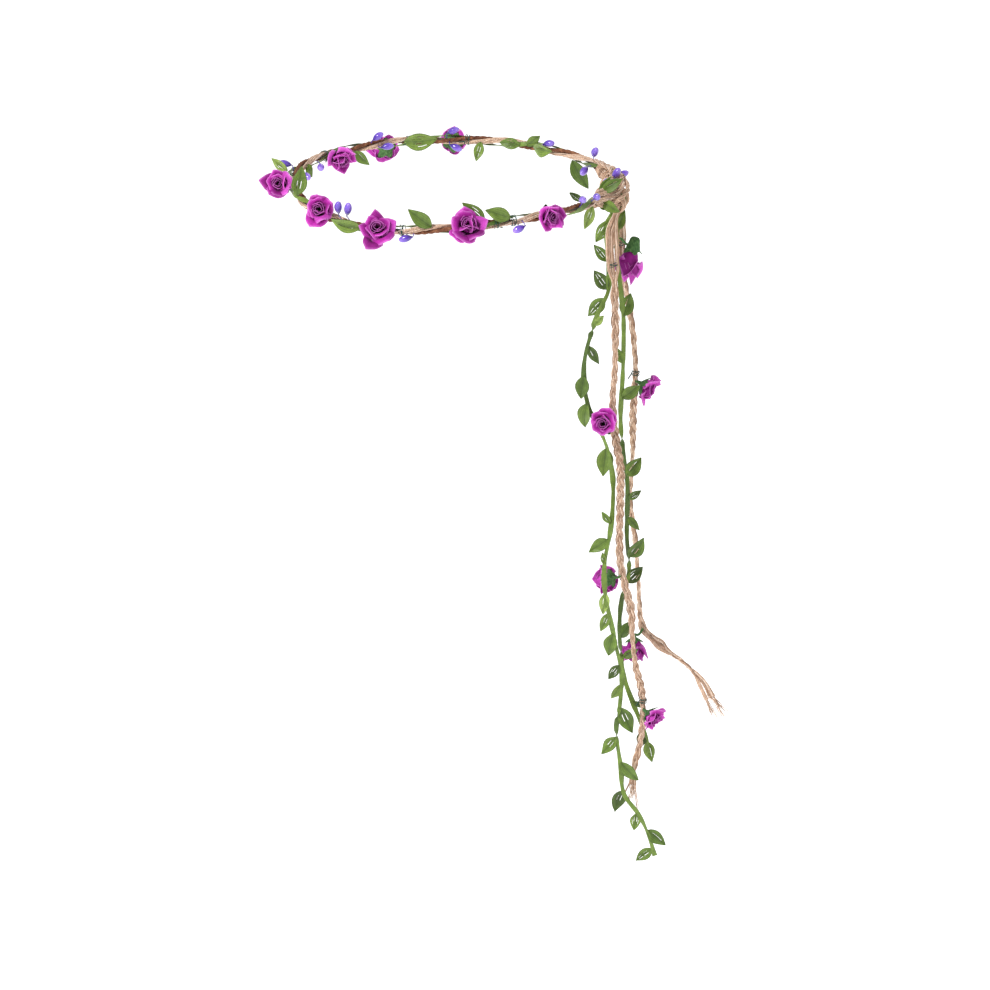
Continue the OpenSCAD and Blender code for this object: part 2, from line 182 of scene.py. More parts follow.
def circle(sides):
    """Points of a unit circle."""
    k = TURN * np.arange(sides) / sides
    return np.stack([np.cos(k), np.sin(k)], axis=1)


def nearest(line, point):
    """The point of a line that is nearest to a point."""
    return line[np.linalg.norm(line - point, axis=1).argmin()]


def random_tone(rng, middle, spread, low=0, high=1):
    """Brightness mark, from dark at 0 to light at 1."""
    return np.clip(rng.normal(middle, spread), low, high)


def wavy(s, rng, size, wavelength, count=3):
    """Smooth random wander along a distance s."""
    total = np.zeros_like(s)
    for k in range(count):
        total += np.sin(TURN * s * (k + 1) / wavelength + rng.uniform(0, TURN)) / (k + 1)
    return size * total / 1.5


# ---- meshes

def tube_faces(rings, sides, closed):
    """Quads of a tube of rings x sides points. An open tube gets flat ends."""
    i, k = np.meshgrid(np.arange(rings if closed else rings - 1), np.arange(sides), indexing="ij")
    here, there = i * sides, (i + 1) % rings * sides
    nxt = (k + 1) % sides
    quads = np.stack([here + k, here + nxt, there + nxt, there + k], axis=-1).reshape(-1, 4)
    if closed:
        return quads
    last = (rings - 1) * sides
    ends = []
    for j in range(1, sides - 2, 2):
        ends.append((0, j + 2, j + 1, j))
        ends.append((last, last + j, last + j + 1, last + j + 2))
    return np.vstack([quads, ends])


def sheet_faces(rows, columns, holes=()):
    """Quads of a sheet with rows x columns points on each side, closed round its edges and holes."""
    back = rows * columns
    cells = {(i, j) for i in range(rows - 1) for j in range(columns - 1)} - set(holes)
    quads = []
    for i, j in sorted(cells):
        a = i * columns + j
        b, c, d = a + columns, a + columns + 1, a + 1
        quads += [(a, b, c, d), (d + back, c + back, b + back, a + back)]
        around = (((i, j - 1), a, b), ((i + 1, j), b, c), ((i, j + 1), c, d), ((i - 1, j), d, a))
        for near, first, second in around:
            if near not in cells:
                quads.append((second, first, first + back, second + back))
    return np.array(quads)


class Shape:
    """Points and quads that become one mesh. tone, rim and depth are marks that the materials read."""

    def __init__(self):
        self.points, self.quads = [], []
        self.marks = {"tone": [], "rim": [], "depth": []}
        self.count = 0

    def add(self, points, quads, tone=0.5, rim=0.0, depth=0.5):
        points = np.asarray(points, float).reshape(-1, 3)
        self.points.append(points)
        self.quads.append(np.asarray(quads) + self.count)
        self.count += len(points)
        for name, value in (("tone", tone), ("rim", rim), ("depth", depth)):
            self.marks[name].append(np.broadcast_to(np.asarray(value, float).reshape(-1), len(points)))

    def tube(self, path, radius, sides=6, tone=0.5):
        """Round tube along a path. radius is one number or one per point."""
        along = tangents(path)
        rough = np.eye(3)[np.argmin(np.abs(along).mean(axis=0))]
        side = unit(np.cross(along, rough))
        radius = np.broadcast_to(np.asarray(radius, float).reshape(-1), len(path))[:, None, None]
        self.section(path, side, np.cross(side, along), radius * circle(sides), tone)

    def section(self, path, side, up, outline, tone=0.5, rim=0.0, closed=False):
        """Tube whose cross-section is outline, one row of (x, y) points for each point of the path."""
        points = path[:, None] + outline[..., :1] * side[:, None] + outline[..., 1:] * up[:, None]
        self.add(points, tube_faces(len(path), outline.shape[1], closed), tone, rim)

    def closed_tube(self, line, side, up, radius, sides, tone):
        outline = circle(sides)[None] * np.asarray(radius).reshape(-1, 1, 1)
        outline = np.broadcast_to(outline, (len(line), sides, 2))
        self.section(line, side, up, outline, tone, closed=True)

    def sheet(self, grid, thickness, faces, tone=0.5, rim=0.0, depth=0.5):
        """Two-sided sheet of a thickness round a grid of points."""
        normal = unit(np.cross(np.gradient(grid, axis=0), np.gradient(grid, axis=1)))
        both = np.stack([grid - normal * thickness / 2, grid + normal * thickness / 2])
        marks = [np.broadcast_to(m, (2, *grid.shape[:2])) for m in (rim, depth)]
        self.add(both, faces, tone, *marks)

    def make(self, name, look, body):
        """The finished piece, which rides on a body and stands for the CAD node of its name."""
        material, slot = look
        points = np.vstack(self.points) * MM
        quads = np.vstack(self.quads)
        mesh = bpy.data.meshes.new(name + "_visual")
        mesh.vertices.add(len(points))
        mesh.vertices.foreach_set("co", points.astype(np.float32).reshape(-1))
        mesh.loops.add(4 * len(quads))
        mesh.loops.foreach_set("vertex_index", quads.astype(np.int32).reshape(-1))
        mesh.polygons.add(len(quads))
        mesh.polygons.foreach_set("loop_start", np.arange(0, 4 * len(quads), 4, dtype=np.int32))
        mesh.polygons.foreach_set("use_smooth", np.ones(len(quads), bool))
        mesh.update(calc_edges=True)
        for mark, values in self.marks.items():
            layer = mesh.attributes.new(mark, "FLOAT", "POINT")
            layer.data.foreach_set("value", np.concatenate(values).astype(np.float32))
        mesh.materials.append(material)
        piece = bpy.data.objects.new(name + "_visual", mesh)
        bpy.context.scene.collection.objects.link(piece)
        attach(piece, body)
        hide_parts(name)
        return piece


# ---- places from the CAD model

def solids(node):
    """Corner points of each separate solid of a CAD node."""
    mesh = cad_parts[node].data
    points = np.array([v.co for v in mesh.vertices]) / MM
    keys, same = np.unique(np.round(points, 3), axis=0, return_inverse=True)
    same = same.reshape(-1)
    edges = same[np.array([e.vertices for e in mesh.edges])]
    group = np.arange(len(keys))
    while True:
        before = group.copy()
        low = np.minimum(group[edges[:, 0]], group[edges[:, 1]])
        np.minimum.at(group, edges[:, 0], low)
        np.minimum.at(group, edges[:, 1], low)
        group = group[group]
        if (group == before).all():
            return [keys[group == g] for g in np.unique(group)]


def surface_centre(node):
    """Centre of a CAD node's surface, which lies on the axis of a turned solid."""
    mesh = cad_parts[node].data
    mesh.calc_loop_triangles()
    points = np.array([v.co for v in mesh.vertices]) / MM
    corners = points[np.array([t.vertices for t in mesh.loop_triangles])]
    area = np.array([t.area for t in mesh.loop_triangles])
    return (corners.mean(axis=1) * area[:, None]).sum(axis=0) / area.sum()


def flower_place(name):
    """Foot of a rose's calyx, the way that the rose faces, and its radius."""
    calyx = surface_centre("calyx_" + name)
    bloom = surface_centre("rose_" + name)
    axis = unit(bloom - calyx)
    points = solids("rose_" + name)[0] - calyx
    height = points @ axis
    radius = np.linalg.norm(points - height[:, None] * axis, axis=1).max()
    foot = calyx + axis * ((solids("calyx_" + name)[0] - calyx) @ axis).min()
    return foot, axis, radius


def long_axis(points):
    """The two points of a solid that are furthest apart."""
    apart = np.linalg.norm(points[:, None] - points[None], axis=-1)
    i, j = np.unravel_index(apart.argmax(), apart.shape)
    return points[i], points[j]


def foot_first(a, b, line):
    """The two ends of a solid, with the end nearer to a line of points first."""
    apart = [np.linalg.norm(line - end, axis=1).min() for end in (a, b)]
    return (b, a) if apart[0] > apart[1] else (a, b)


def leaf_places(node, line):
    """Foot, tip and face direction of each leaf of a CAD node."""
    places = []
    for points in solids(node):
        spread = np.linalg.svd(points - points.mean(axis=0))[2]
        places.append((*foot_first(*long_axis(points), line), spread[2]))
    return places


def bud_places(node, line):
    """Foot and tip of each bud of a CAD node."""
    places = []
    for points in solids(node):
        middle = points.mean(axis=0)
        axis = np.linalg.svd(points - middle)[2][0]
        reach = (points - middle) @ axis
        places.append(foot_first(middle + axis * reach.min(), middle + axis * reach.max(), line))
    return places


# ---- materials

def linear(red, green, blue):
    """Scene-linear colour of an sRGB colour in 0 to 255."""
    c = np.array([red, green, blue]) / 255
    return (*np.where(c <= 0.04045, c / 12.92, ((c + 0.055) / 1.055) ** 2.4), 1.0)


class Look:
    """A material under construction: short calls that add and join its nodes."""

    def __init__(self, name, **sockets):
        self.material = bpy.data.materials.new(name)
        self.material.use_nodes = True
        self.nodes = self.material.node_tree.nodes
        self.links = self.material.node_tree.links
        self.shader = self.nodes["Principled BSDF"]
        for socket, value in sockets.items():
            self.shader.inputs[socket.replace("_", " ")].default_value = value
        self.places = self.nodes.new("ShaderNodeTexCoord").outputs["Object"]

    def node(self, kind, **inputs):
        """A new node, with each input set to a value or joined to an output."""
        node = self.nodes.new(kind)
        for name, value in inputs.items():
            self.join(value, node.inputs[name.replace("_", " ")])
        return node

    def join(self, value, socket):
        if hasattr(value, "is_output"):
            self.links.new(value, socket)
        else:
            socket.default_value = value

    def mark(self, name):
        node = self.node("ShaderNodeAttribute")
        node.attribute_name = name
        return node.outputs["Fac"]

    def noise(self, per_mm, detail=3.0, stretch=None):
        places = self.places
        if stretch:
            places = self.node("ShaderNodeMapping", Vector=places, Scale=stretch).outputs["Vector"]
        node = self.node("ShaderNodeTexNoise", Vector=places, Scale=per_mm / MM, Detail=detail)
        return node.outputs["Fac"]

    def ramp(self, factor, *stops):
        """Colour that follows a factor. A stop is a position and an sRGB colour."""
        node = self.node("ShaderNodeValToRGB", Fac=factor)
        elements = node.color_ramp.elements
        while len(elements) < len(stops):
            elements.new(0.5)
        for element, (position, *colour) in zip(elements, stops):
            element.position = position
            element.color = linear(*colour)
        return node.outputs["Color"]

    def mix(self, factor, a, b, blend="MIX"):
        node = self.node("ShaderNodeMix")
        node.data_type = "RGBA"
        node.blend_type = blend
        for index, value in ((0, factor), (6, a), (7, b)):
            self.join(value, node.inputs[index])
        return node.outputs[2]

    def multiply(self, factor, a, b):
        return self.mix(factor, a, b, "MULTIPLY")

    def colour(self, value):
        self.join(value, self.shader.inputs["Base Color"])

    def finish(self, colour, grain, low, high, relief, strength, depth_mm):
        """The material with its colour, a roughness that follows a grain, and a relief."""
        self.colour(colour)
        rough = self.node("ShaderNodeMapRange", Value=grain, To_Min=low, To_Max=high)
        bump = self.node("ShaderNodeBump", Height=relief, Strength=strength, Distance=depth_mm * MM)
        self.join(rough.outputs["Result"], self.shader.inputs["Roughness"])
        self.join(bump.outputs["Normal"], self.shader.inputs["Normal"])
        return self.material


def jute_look():
    look = Look("jute", Sheen_Weight=0.25, Sheen_Roughness=0.6, Specular_IOR_Level=0.25)
    yarn = look.ramp(look.mark("tone"), (0.0, 118, 84, 60), (0.35, 196, 158, 128),
                     (0.65, 230, 198, 170), (1.0, 252, 238, 222))
    patches = look.ramp(look.noise(0.12, 4), (0.3, 190, 150, 120), (0.7, 240, 212, 188))
    base = look.mix(0.25, yarn, patches)
    fibre = look.noise(2.2, 5, (1, 1, 0.14))
    flecks = look.ramp(fibre, (0.35, 160, 124, 96), (0.62, 255, 255, 255))
    return look.finish(look.multiply(0.6, base, flecks), fibre, 0.75, 0.95, fibre, 0.7, 0.25)


def brown_look():
    look = Look("brown_paper_cord", Specular_IOR_Level=0.3)
    base = look.ramp(look.noise(0.25, 4), (0.3, 92, 54, 36), (0.55, 128, 80, 54),
                     (0.75, 166, 118, 86))
    grain = look.noise(1.8, 5)
    fibres = look.ramp(grain, (0.3, 120, 96, 84), (0.6, 255, 250, 245))
    return look.finish(look.multiply(0.5, base, fibres), grain, 0.6, 0.85, grain, 0.6, 0.2)


def leaf_look():
    look = Look("leaf_ribbon", Sheen_Weight=0.15, Sheen_Roughness=0.4, Specular_IOR_Level=0.4)
    satin = look.ramp(look.mark("tone"), (0.0, 62, 82, 26), (0.35, 104, 132, 48),
                      (0.7, 144, 170, 76), (1.0, 188, 210, 116))
    cloudy = look.ramp(look.noise(0.3, 3), (0.3, 160, 170, 140), (0.7, 255, 255, 250))
    base = look.multiply(0.6, satin, cloudy)
    # Lighter along the veins, read through the depth mark: painted satin sheen
    painted_vein_sheen = look.ramp(look.mark("depth"), (0.0, 150, 165, 130), (1.0, 255, 255, 250))
    base = look.multiply(0.8, base, painted_vein_sheen)
    weave = look.noise(4.0, 2, (1, 1, 0.3))
    threads = look.ramp(weave, (0.3, 205, 215, 190), (0.7, 255, 255, 255))
    base = look.multiply(0.5, base, threads)
    edge = look.mix(0.7, base, linear(38, 54, 20))
    return look.finish(look.mix(look.mark("rim"), base, edge), weave, 0.36, 0.55, weave, 0.4, 0.08)


def petal_look():
    look = Look("paper_petals", Sheen_Weight=0.05, Sheen_Roughness=0.5, Specular_IOR_Level=0.2)
    # Darker where the depth mark is low, at the petals' feet and in the rose's heart: painted shade inside
    # the rose
    body = look.ramp(look.mark("depth"), (0.0, 52, 2, 44), (0.45, 128, 12, 112),
                     (0.85, 192, 44, 172), (1.0, 208, 76, 192))
    # Petals with a low tone are darker. Tones are random, but the inner rows only get low ones: partly
    # painted shade in the rose's heart
    petal = look.ramp(look.mark("tone"), (0.0, 180, 160, 180), (0.6, 255, 255, 255))
    base = look.multiply(0.9, body, petal)
    # High tones, which only the outer rows reach, turn the petal light pink: a painted highlight on the outer
    # petals
    painted_highlight = look.ramp(look.mark("tone"), (0.55, 0, 0, 0), (1.0, 190, 190, 190))
    base = look.mix(painted_highlight, base, linear(222, 106, 214))
    pulp = look.noise(0.5, 6)
    mottle = look.ramp(pulp, (0.3, 214, 190, 214), (0.65, 255, 255, 255))
    base = look.multiply(0.7, base, mottle)
    edge = look.mix(0.65, base, linear(238, 146, 232))
    base = look.mix(look.mark("rim"), base, edge)
    return look.finish(base, pulp, 0.6, 0.85, look.noise(1.6, 5), 0.35, 0.15)


def calyx_look():
    look = Look("green_paper_tape", Specular_IOR_Level=0.2)
    crepe = look.noise(1.2, 5, (1, 1, 0.4))
    base = look.ramp(crepe, (0.3, 58, 92, 52), (0.55, 82, 122, 70), (0.75, 116, 152, 94))
    shade = look.ramp(look.mark("tone"), (0.0, 170, 180, 170), (1.0, 255, 255, 255))
    return look.finish(look.multiply(0.8, base, shade), crepe, 0.7, 0.92, crepe, 0.6, 0.2)


def bud_look():
    look = Look("glossy_buds", Coat_Weight=0.9, Coat_Roughness=0.12, Specular_IOR_Level=0.5)
    # Dark at the bud's foot and pale at its tip: painted shade and a painted highlight
    body = look.ramp(look.mark("depth"), (0.0, 52, 26, 112), (0.3, 92, 54, 178),
                     (0.7, 136, 96, 216), (1.0, 182, 148, 246))
    pearl = look.noise(0.6, 4)
    veil = look.ramp(pearl, (0.3, 205, 196, 235), (0.7, 255, 255, 255))
    base = look.multiply(0.6, body, veil)
    shade = look.ramp(look.mark("tone"), (0.0, 150, 140, 200), (1.0, 255, 255, 255))
    return look.finish(look.multiply(0.8, base, shade), pearl, 0.22, 0.36, pearl, 0.15, 0.15)


def wire_look(name, dark, light):
    look = Look(name, Specular_IOR_Level=0.35)
    wrap = look.noise(2.2, 4)
    return look.finish(look.ramp(wrap, (0.3, *dark), (0.7, *light)), wrap, 0.45, 0.75, wrap, 0.5, 0.12)


# Each look with the name of the material slot that it stands for
JUTE = jute_look(), "jute"
BROWN = brown_look(), "brown_cord"
LEAF = leaf_look(), "leaf_ribbon"
PETAL = petal_look(), "paper_petals"
CALYX = calyx_look(), "green_calyx"
BUD = bud_look(), "glossy_buds"
WIRE = wire_look("floral_wire", (22, 52, 46), (56, 92, 82)), "floral_wire"
STEEL = wire_look("core_wire", (70, 70, 68), (120, 120, 116))


# ---- jute

# Share of a turn between neighbours of an evenly spread spiral
GOLDEN_SHARE = 0.381966
FIBRE_POINTS = 7
FRAY_POINTS = 14
# Radius of a tail's turn over the knot's bar, and its points, for braids and for vines
BRAID_TURN_R, BRAID_TURN_POINTS = 4.35, 72
VINE_TURN_R, VINE_TURN_POINTS = 4.0, 60


def yarn_spots(count, half_width, half_height):
    """Places of yarns that fill an ellipse."""
    k = np.arange(count)
    reach = np.sqrt((k + 0.5) / count)
    angle = k * TURN * GOLDEN_SHARE
    return np.stack([half_width * reach * np.cos(angle), half_height * reach * np.sin(angle)], axis=1)


def add_yarns(shape, path, side, up, rng, count, half_width, half_height, yarn_r, pitch=1e9,
              sides=5, tone=0.5, wander=1.0, spread=0.22):
    """Bundle of yarns along a path, twisted once every pitch."""
    s = travel(path)
    turn = TURN * s / pitch
    for x, y in yarn_spots(count, half_width, half_height):
        # Yarns towards the bundle's sides get a darker tone: painted shade in the gaps between strands, on
        # top of a random tone
        edge = (x / half_width) ** 2
        x = x * wander + wavy(s, rng, 0.16 * half_width, 24)
        y = y * wander + wavy(s, rng, 0.16 * half_height, 31)
        px = x * np.cos(turn) - y * np.sin(turn)
        py = x * np.sin(turn) + y * np.cos(turn)
        shade = random_tone(rng, tone + 0.15 - 0.4 * edge, spread)
        radius = yarn_r * rng.uniform(0.75, 1.2)
        shape.tube(to_frame(path, side, up, px, py), radius, sides, tone=shade)


def add_stray_fibres(shape, path, rng, count, reach, length, radius=0.055):
    """Fine fibres that leave the surface of a cord and curl away."""
    along = tangents(path)
    for _ in range(count):
        i = rng.integers(2, len(path) - 2)
        out = unit(np.cross(along[i], rng.normal(size=3)))
        way = along[i] * rng.choice([-1, 1])
        curl = unit(rng.normal(size=3))
        t = np.linspace(0, 1, FIBRE_POINTS)[:, None]
        long = length * rng.uniform(0.4, 1.0)
        line = (path[i] + out * reach * 0.8 + way * long * t + out * long * 0.45 * t ** 2
                + curl * long * 0.25 * t ** 3)
        shape.tube(line, radius * np.linspace(1, 0.5, FIBRE_POINTS), 4, tone=rng.uniform(0.6, 1.0))


def strand_centres(path, side, up, wide, deep, plaited):
    """Centre lines of the three strands of a braid, which lie side by side where plaited is 0."""
    s = travel(path)
    lines = []
    for k in range(3):
        phase = TURN * (s / BRAID_PITCH + 0.2 * np.sin(s / 23) + k / 3)
        x = wide * (plaited * np.sin(phase) + (1 - plaited) * (k - 1))
        y = deep * plaited * np.sin(2 * phase)
        lines.append(to_frame(path, side, up, x, y))
    return lines


def make_braid(name, route, body, sizes, plaits, splay, rng):
    """Three-strand braid of jute yarns, with its frayed end as a separate piece."""
    path = smooth_path(np.array(route) / MM, 0.85)
    side, up = carried_frame(path)
    s = travel(path)
    size = np.interp(s, *np.transpose(sizes)) * (1 + wavy(s, rng, 0.06, 40))
    plaited = np.interp(s, *np.transpose(plaits))
    loose = 1 + 0.7 * (1 - plaited) * smoothstep(0, 14, s)
    shape = Shape()
    lines = strand_centres(path, side, up, 1.1 * size * loose, 0.75 * size, plaited)
    lines = [line + 0.5 * (1 - plaited)[:, None] * np.stack([wavy(s, rng, 1, 37)] * 2 + [0 * s], axis=1)
             for line in lines]
    for line in lines:
        s_side, s_up = carried_frame(line)
        add_yarns(shape, line, s_side, s_up, rng, 12, 0.95, 0.7, 0.28, wander=size, spread=0.26)
    add_stray_fibres(shape, path, rng, 240, 1.8, 3.4)
    piece = shape.make(name, JUTE, body)

    fray = Shape()
    way = unit(path[-1] - path[-4])
    t = np.linspace(0, 1, FRAY_POINTS)[:, None]
    thinning = np.linspace(1, 0.5, FRAY_POINTS)
    for clump in range(11):
        foot = lines[clump % 3][-1] - 2.2 * way
        lean = splay * (side[-1] * rng.normal(0, 1) + up[-1] * rng.normal(0, 0.7))
        bow = unit(rng.normal(size=3)) * rng.uniform(0.3, 1.3)
        long = rng.uniform(9, 17.5)
        for _ in range(rng.integers(2, 6)):
            jitter = (side[-1] * rng.normal(0, 1) + up[-1] * rng.normal(0, 1)) * 0.28
            own = long * rng.uniform(0.85, 1)
            line = (foot + jitter * (1 + 0.8 * t) + way * own * t + lean * 2.3 * t ** 1.4
                    + bow * np.sin(math.pi * t ** 1.2))
            fray.tube(line, rng.uniform(0.15, 0.27) * thinning, 5, tone=random_tone(rng, 0.5, 0.3))
    for _ in range(3):
        curl = unit(rng.normal(size=3))
        line = path[-1] + way * 15 * t + curl * (1.2 + 5 * t ** 2)
        fray.tube(line, 0.08, 4, tone=0.5)
    end_piece = fray.make(name + "_fray", JUTE, body)
    return piece, end_piece, path


def bar_turn(radius, y, count):
    """Circle round the knot's bar, with its outward directions and those along the bar."""
    angle = np.linspace(0, TURN, count + 1)[:-1]
    out = np.stack([np.cos(angle), 0 * angle, np.sin(angle)], axis=1)
    return (BAR_X, y, BAR_Z) + radius * out, out, np.broadcast_to((0.0, 1.0, 0.0), out.shape)


def make_braid_loop(name, body, y, rng):
    """The braid's yarns where they turn over the knot's bar."""
    path, out, across = bar_turn(BRAID_TURN_R, y, BRAID_TURN_POINTS)
    shape = Shape()
    for x, z in yarn_spots(11, 0.95, 0.85):
        shape.closed_tube(path + out * x + across * z, out, across, 0.32, 6, random_tone(rng, 0.55, 0.2))
    return shape.make(name, JUTE, body)


# ---- leaf ribbon

LEAF_T = 0.3
# How far a leaf's veins lean to its tip
SLANT = 0.25
RIBBON_SIDES = 10
# Places of a leaf's points, from foot to tip and from side to side
LEAF_ALONG = np.array([0, 0.05, 0.1, 0.16, 0.22, 0.3, 0.38, 0.46,
                       0.54, 0.62, 0.7, 0.78, 0.86, 0.93, 0.975, 1])
LEAF_ACROSS = np.array([-1, -0.9, -0.74, -0.57, -0.5, -0.29, -0.2, 0, 0.2, 0.29, 0.5, 0.57, 0.74, 0.9, 1])
# Columns and rows of the leaf's cells that its cut veins leave out
INNER_CUTS, OUTER_CUTS = (5, 8), (3, 10)
LOW_CUTS = [(i, j) for i in (4, 5, 6) for j in INNER_CUTS]
HIGH_CUTS = [(i, j) for i in (8, 9, 10) for j in INNER_CUTS]
SIDE_CUTS = [(i, j) for i in (5, 6, 7) for j in OUTER_CUTS]
LONG_CUT = [(i, INNER_CUTS[1]) for i in (4, 5, 6, 7, 8, 9)]
LEAF_FACES = [sheet_faces(len(LEAF_ALONG), len(LEAF_ACROSS), holes)
              for holes in (LOW_CUTS + HIGH_CUTS, LOW_CUTS + SIDE_CUTS, LONG_CUT, LOW_CUTS, (), ())]
# Brightness across a leaf, lighter in bands along the veins, which the material reads as the depth mark:
# painted satin sheen
VEIN_SHEEN = np.interp(np.abs(LEAF_ACROSS), [0, 0.2, 0.29, 0.5, 0.57, 0.74, 1], [0.2, 0.5, 0.2, 0.9, 0.2, 1, 0.8])


def add_leaf(shape, foot, tip, face, width, rng, tone, bend=0.0, fold=0.25, twist=0.0):
    """Pointed satin leaf with long cut veins, from its foot to its tip."""
    a, b = LEAF_ALONG[:, None], LEAF_ACROSS[None]
    length = np.linalg.norm(tip - foot)
    lead = np.clip(a + SLANT * np.abs(b) * np.sin(math.pi * a), 0, 1)
    half = 0.5 * width * np.sin(math.pi * lead ** 0.82) ** 0.95 + 0.1
    x = length * lead
    y = b * half
    z = (fold * np.abs(y) + bend * length * (lead - lead ** 2)
         + 0.3 * np.sin(8 * lead + 3 * b + rng.uniform(0, TURN)) * rng.uniform(0.3, 1))
    turn = twist * lead
    y, z = y * np.cos(turn) - z * np.sin(turn), y * np.sin(turn) + z * np.cos(turn)
    ahead = unit(tip - foot)
    face = unit(face - ahead * np.dot(face, ahead))
    across = np.cross(face, ahead)
    grid = foot + x[..., None] * ahead + y[..., None] * across + z[..., None] * face
    rim = (0.5 * smoothstep(0.12, 0.0, np.abs(b)) + 0.6 * smoothstep(0.8, 1.0, np.abs(b))) * np.ones_like(a)
    depth = VEIN_SHEEN[None] * np.ones_like(a)
    shape.sheet(grid, LEAF_T, LEAF_FACES[rng.integers(len(LEAF_FACES))], tone, rim, depth)


def add_leaves(shape, node, line, rng, lift, near, facing, sway, widths, tones, bends, folds, twist):
    """Leaves of a CAD node, turned partly to the front and drawn in to the line that they grow from."""
    front = np.array([math.sin(VIEW_AZIMUTH), -math.cos(VIEW_AZIMUTH), lift])
    for foot, tip, face in leaf_places(node, line):
        face = face if np.dot(face, front) > 0 else -face
        face = face + facing * front + rng.normal(0, sway, 3)
        stem = nearest(line, foot)
        foot = stem + near * (foot - stem)
        long = np.linalg.norm(tip - foot)
        add_leaf(shape, foot, tip, face, rng.uniform(*widths) * long, rng, random_tone(rng, *tones),
                 bend=rng.normal(*bends), fold=rng.uniform(*folds), twist=rng.normal(0, twist))
    return front


VINE_LEAVES = dict(lift=0.3, near=0.6, facing=0.6, sway=0.25, widths=(0.46, 0.6),
                   tones=(0.42, 0.24, 0.05, 0.95), bends=(0, 0.18), folds=(0.1, 0.4), twist=0.25)
RING_LEAVES = dict(lift=0.4, near=0.55, facing=0.4, sway=0.2, widths=(0.44, 0.56),
                   tones=(0.5, 0.22, 0.1, 0.95), bends=(0.1, 0.15), folds=(0.1, 0.35), twist=0.3)


def add_ribbon(shape, path, side, up, width, rng, turn, tone=0.5, closed=False):
    """Flat satin ribbon along a path, turned by an angle at each point."""
    k = TURN * np.arange(RIBBON_SIDES) / RIBBON_SIDES
    x = width / 2 * np.sign(np.cos(k)) * np.abs(np.cos(k)) ** 0.6
    y = 0.25 * np.sign(np.sin(k)) * np.abs(np.sin(k)) ** 0.8
    x = x[None] * (1 + wavy(travel(path), rng, 0.2, 31)[:, None] * (0 if closed else 1))
    c, s = np.cos(turn)[:, None], np.sin(turn)[:, None]
    outline = np.stack([x * c - y * s, x * s + y * c], axis=-1)
    shape.section(path, side, up, outline, tone, closed=closed)


def make_vine(name, route, body, rng):
    path = smooth_path(np.array(route) / MM, 0.8)
    side, up = carried_frame(path)
    shape = Shape()
    s = travel(path)
    turn = 0.55 * np.sin(TURN * s / 61 + rng.uniform(0, TURN))
    for place in rng.uniform(0.12, 0.92, 4) * s[-1]:
        turn = turn + math.pi * smoothstep(place - 5, place + 5, s)
    # Lighter where the ribbon's face is turned forward and darker where it is turned over: painted satin
    # sheen and shade
    tone = 0.44 + 0.2 * np.cos(turn)
    add_ribbon(shape, path, side, up, VINE_D * 1.3, rng, turn, tone=np.repeat(tone, RIBBON_SIDES))
    stem = shape.make(name, LEAF, body)
    leaves = Shape()
    add_leaves(leaves, name + "_leaves", path, rng, **VINE_LEAVES)
    return stem, leaves.make(name + "_leaves", LEAF, body), path


def make_vine_loop(name, body, y):
    """The vine's ribbon where it turns over the knot's bar."""
    path, out, across = bar_turn(VINE_TURN_R, y, VINE_TURN_POINTS)
    shape = Shape()
    outline = circle(8) * (0.35, 0.85)
    shape.section(path, out, across, np.broadcast_to(outline, (len(path), 8, 2)), 0.4, closed=True)
    return shape.make(name, LEAF, body)


# ---- roses

PETAL_ROWS, PETAL_COLUMNS = 19, 17
PETAL_FACES = sheet_faces(PETAL_ROWS, PETAL_COLUMNS)
CORE_ROWS, CORE_COLUMNS = 72, 9
CORE_FACES = sheet_faces(CORE_ROWS, CORE_COLUMNS)
PAPER_T = 0.2
# Radius of the rose that the petals' sizes are given for
ROSE_R = 9


def placed(grid, foot, axis, spin):
    """Points given with +Z as the flower's axis, turned about it and moved to a flower's foot."""
    rough = (0.0, 0.0, 1.0) if abs(axis[2]) < 0.9 else (0.0, 1.0, 0.0)
    side = unit(np.cross(rough, axis))
    up = np.cross(axis, side)
    x = grid[..., 0] * math.cos(spin) - grid[..., 1] * math.sin(spin)
    y = grid[..., 0] * math.sin(spin) + grid[..., 1] * math.cos(spin)
    return foot + x[..., None] * side + y[..., None] * up + grid[..., 2:] * axis


def swept(slope, step):
    """Distance out and up along lines that leave the axis by an angle at each of their points."""
    return [np.hstack([np.zeros((len(slope), 1)), np.cumsum(turn(slope)[:, 1:] * step, axis=1)])
            for turn in (np.sin, np.cos)]


def petal(rng, length, half_width, foot_r, lean, point, roll, flat, angle):
    """One petal: lean is its angle from the axis at its foot, its middle and its rim, in degrees."""
    u = np.linspace(-1, 1, PETAL_ROWS)[:, None]
    v = np.linspace(0, 1, PETAL_COLUMNS)[None]
    low, middle, rim = (math.radians(a) for a in lean)
    slope = low + (middle - low) * smoothstep(0, 0.5, v) + (rim - middle) * smoothstep(0.55, 1, v)
    slope = slope + roll * np.abs(u) ** 2 * smoothstep(0.35, 1, v)
    slope = slope + 0.14 * np.sin(3 * u + rng.uniform(0, 6)) * v
    reach = length * (1 - 0.3 * np.abs(u) ** 3 + point * np.maximum(0, 1 - np.abs(u) / 0.5) ** 1.5)
    r, z = swept(slope, reach / (PETAL_COLUMNS - 1))
    r = foot_r + r
    wide = half_width * (0.45 + 0.55 * smoothstep(0, 0.55, v))
    around = angle + u * np.minimum(wide / np.maximum(r, 0.8), 1.5)
    r = r + 0.35 * u * smoothstep(0, 0.4, v)
    r = r * (1 + flat * (1 / np.cos(np.clip(around - angle, -0.95, 0.95)) - 1))
    ripple = 0.16 * np.sin(5 * u + 4 * v + rng.uniform(0, 6)) * v ** 2
    grid = np.stack([(r + ripple) * np.cos(around), (r + ripple) * np.sin(around), z + ripple], axis=-1)
    edge = np.maximum(smoothstep(0.86, 1, np.abs(u)) * smoothstep(0.3, 0.7, v), smoothstep(0.9, 1, v))
    return grid, edge, v * np.ones_like(u)


